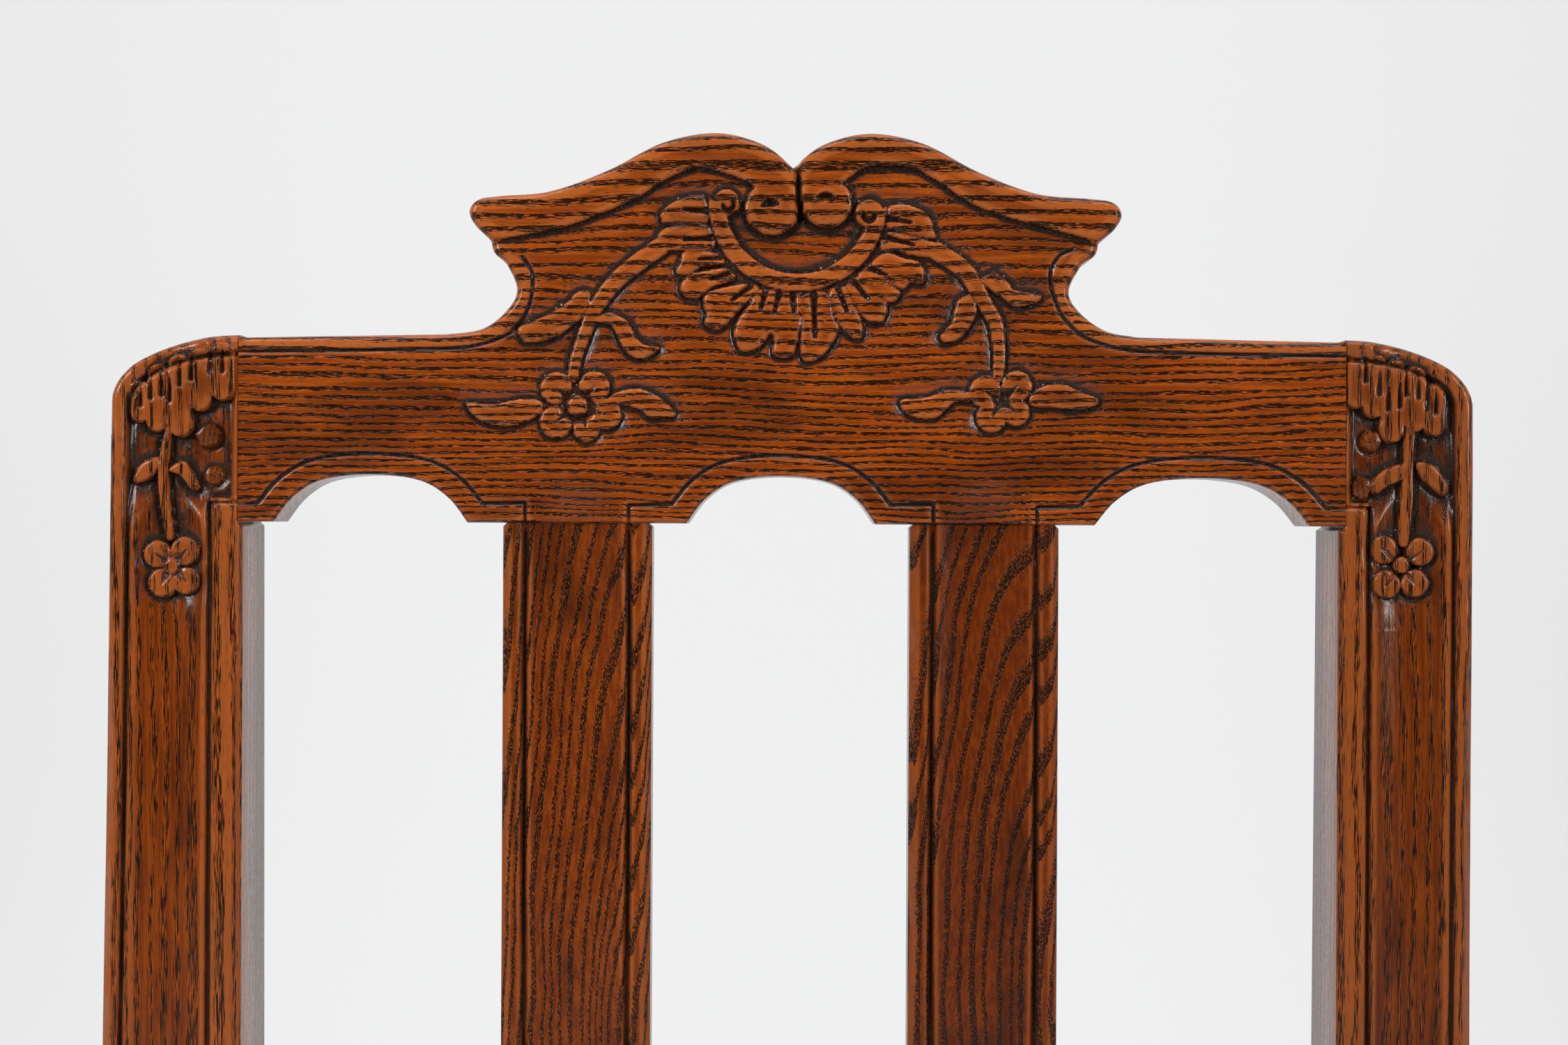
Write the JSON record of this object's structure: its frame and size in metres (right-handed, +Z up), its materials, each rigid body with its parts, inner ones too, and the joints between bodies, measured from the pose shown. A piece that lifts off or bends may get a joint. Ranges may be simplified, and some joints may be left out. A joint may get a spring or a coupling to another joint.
{
  "type": "side chair",
  "caption": "Wooden side chair with a carved scroll-pediment crest rail, moulded back slats, curved front legs, stretchers and a lift-out leather seat.",
  "frame": {"origin": "on the floor under the middle of the chair's bounding box", "axes": "+X across the chair to the right as seen from the front, -Y to the front, +Z up"},
  "size_m": [0.5012, 0.4871, 1.0009],
  "materials": {
    "waxed_wood": "stained and waxed",
    "peg_wood": "stained and waxed",
    "plain_wood": "bare wood",
    "leather": "waxed hide",
    "webbing": "jute webbing",
    "hessian": "jute cloth",
    "stuffing": "curled hair"
  },
  "bodies": {
    "chair_frame": {"rear_leg_left": "waxed_wood", "rear_leg_right": "waxed_wood", "crest_rail": "waxed_wood", "slat_left": "waxed_wood", "slat_right": "waxed_wood", "lower_back_rail": "waxed_wood", "rear_seat_rail": "waxed_wood", "front_seat_rail": "waxed_wood", "side_seat_rail_left": "waxed_wood", "side_seat_rail_right": "waxed_wood", "front_leg_left": "waxed_wood", "front_leg_right": "waxed_wood", "side_stretcher_left": "waxed_wood", "side_stretcher_right": "waxed_wood", "cross_stretcher": "waxed_wood", "corner_block_front_left": "plain_wood", "corner_block_front_right": "plain_wood", "corner_block_rear_left": "plain_wood", "corner_block_rear_right": "plain_wood", "crest_pegs": "peg_wood", "lower_rail_pegs": "peg_wood", "front_leg_pegs": "peg_wood", "rear_leg_pegs": "peg_wood", "stretcher_pegs": "peg_wood"},
    "slip_seat": {"slip_seat_front": "plain_wood", "slip_seat_back": "plain_wood", "slip_seat_side_left": "plain_wood", "slip_seat_side_right": "plain_wood", "slip_seat_pegs": "plain_wood", "webbing_lengthwise": "webbing", "webbing_crosswise": "webbing", "hessian": "hessian", "stuffing": "stuffing", "seat_cover": "leather"}
  },
  "joints": [
    {"name": "slip_seat_lift", "type": "slide", "parent": "chair_frame", "child": "slip_seat", "axis": [0, 0, 1], "range_m": [0, 0.12]}
  ]
}
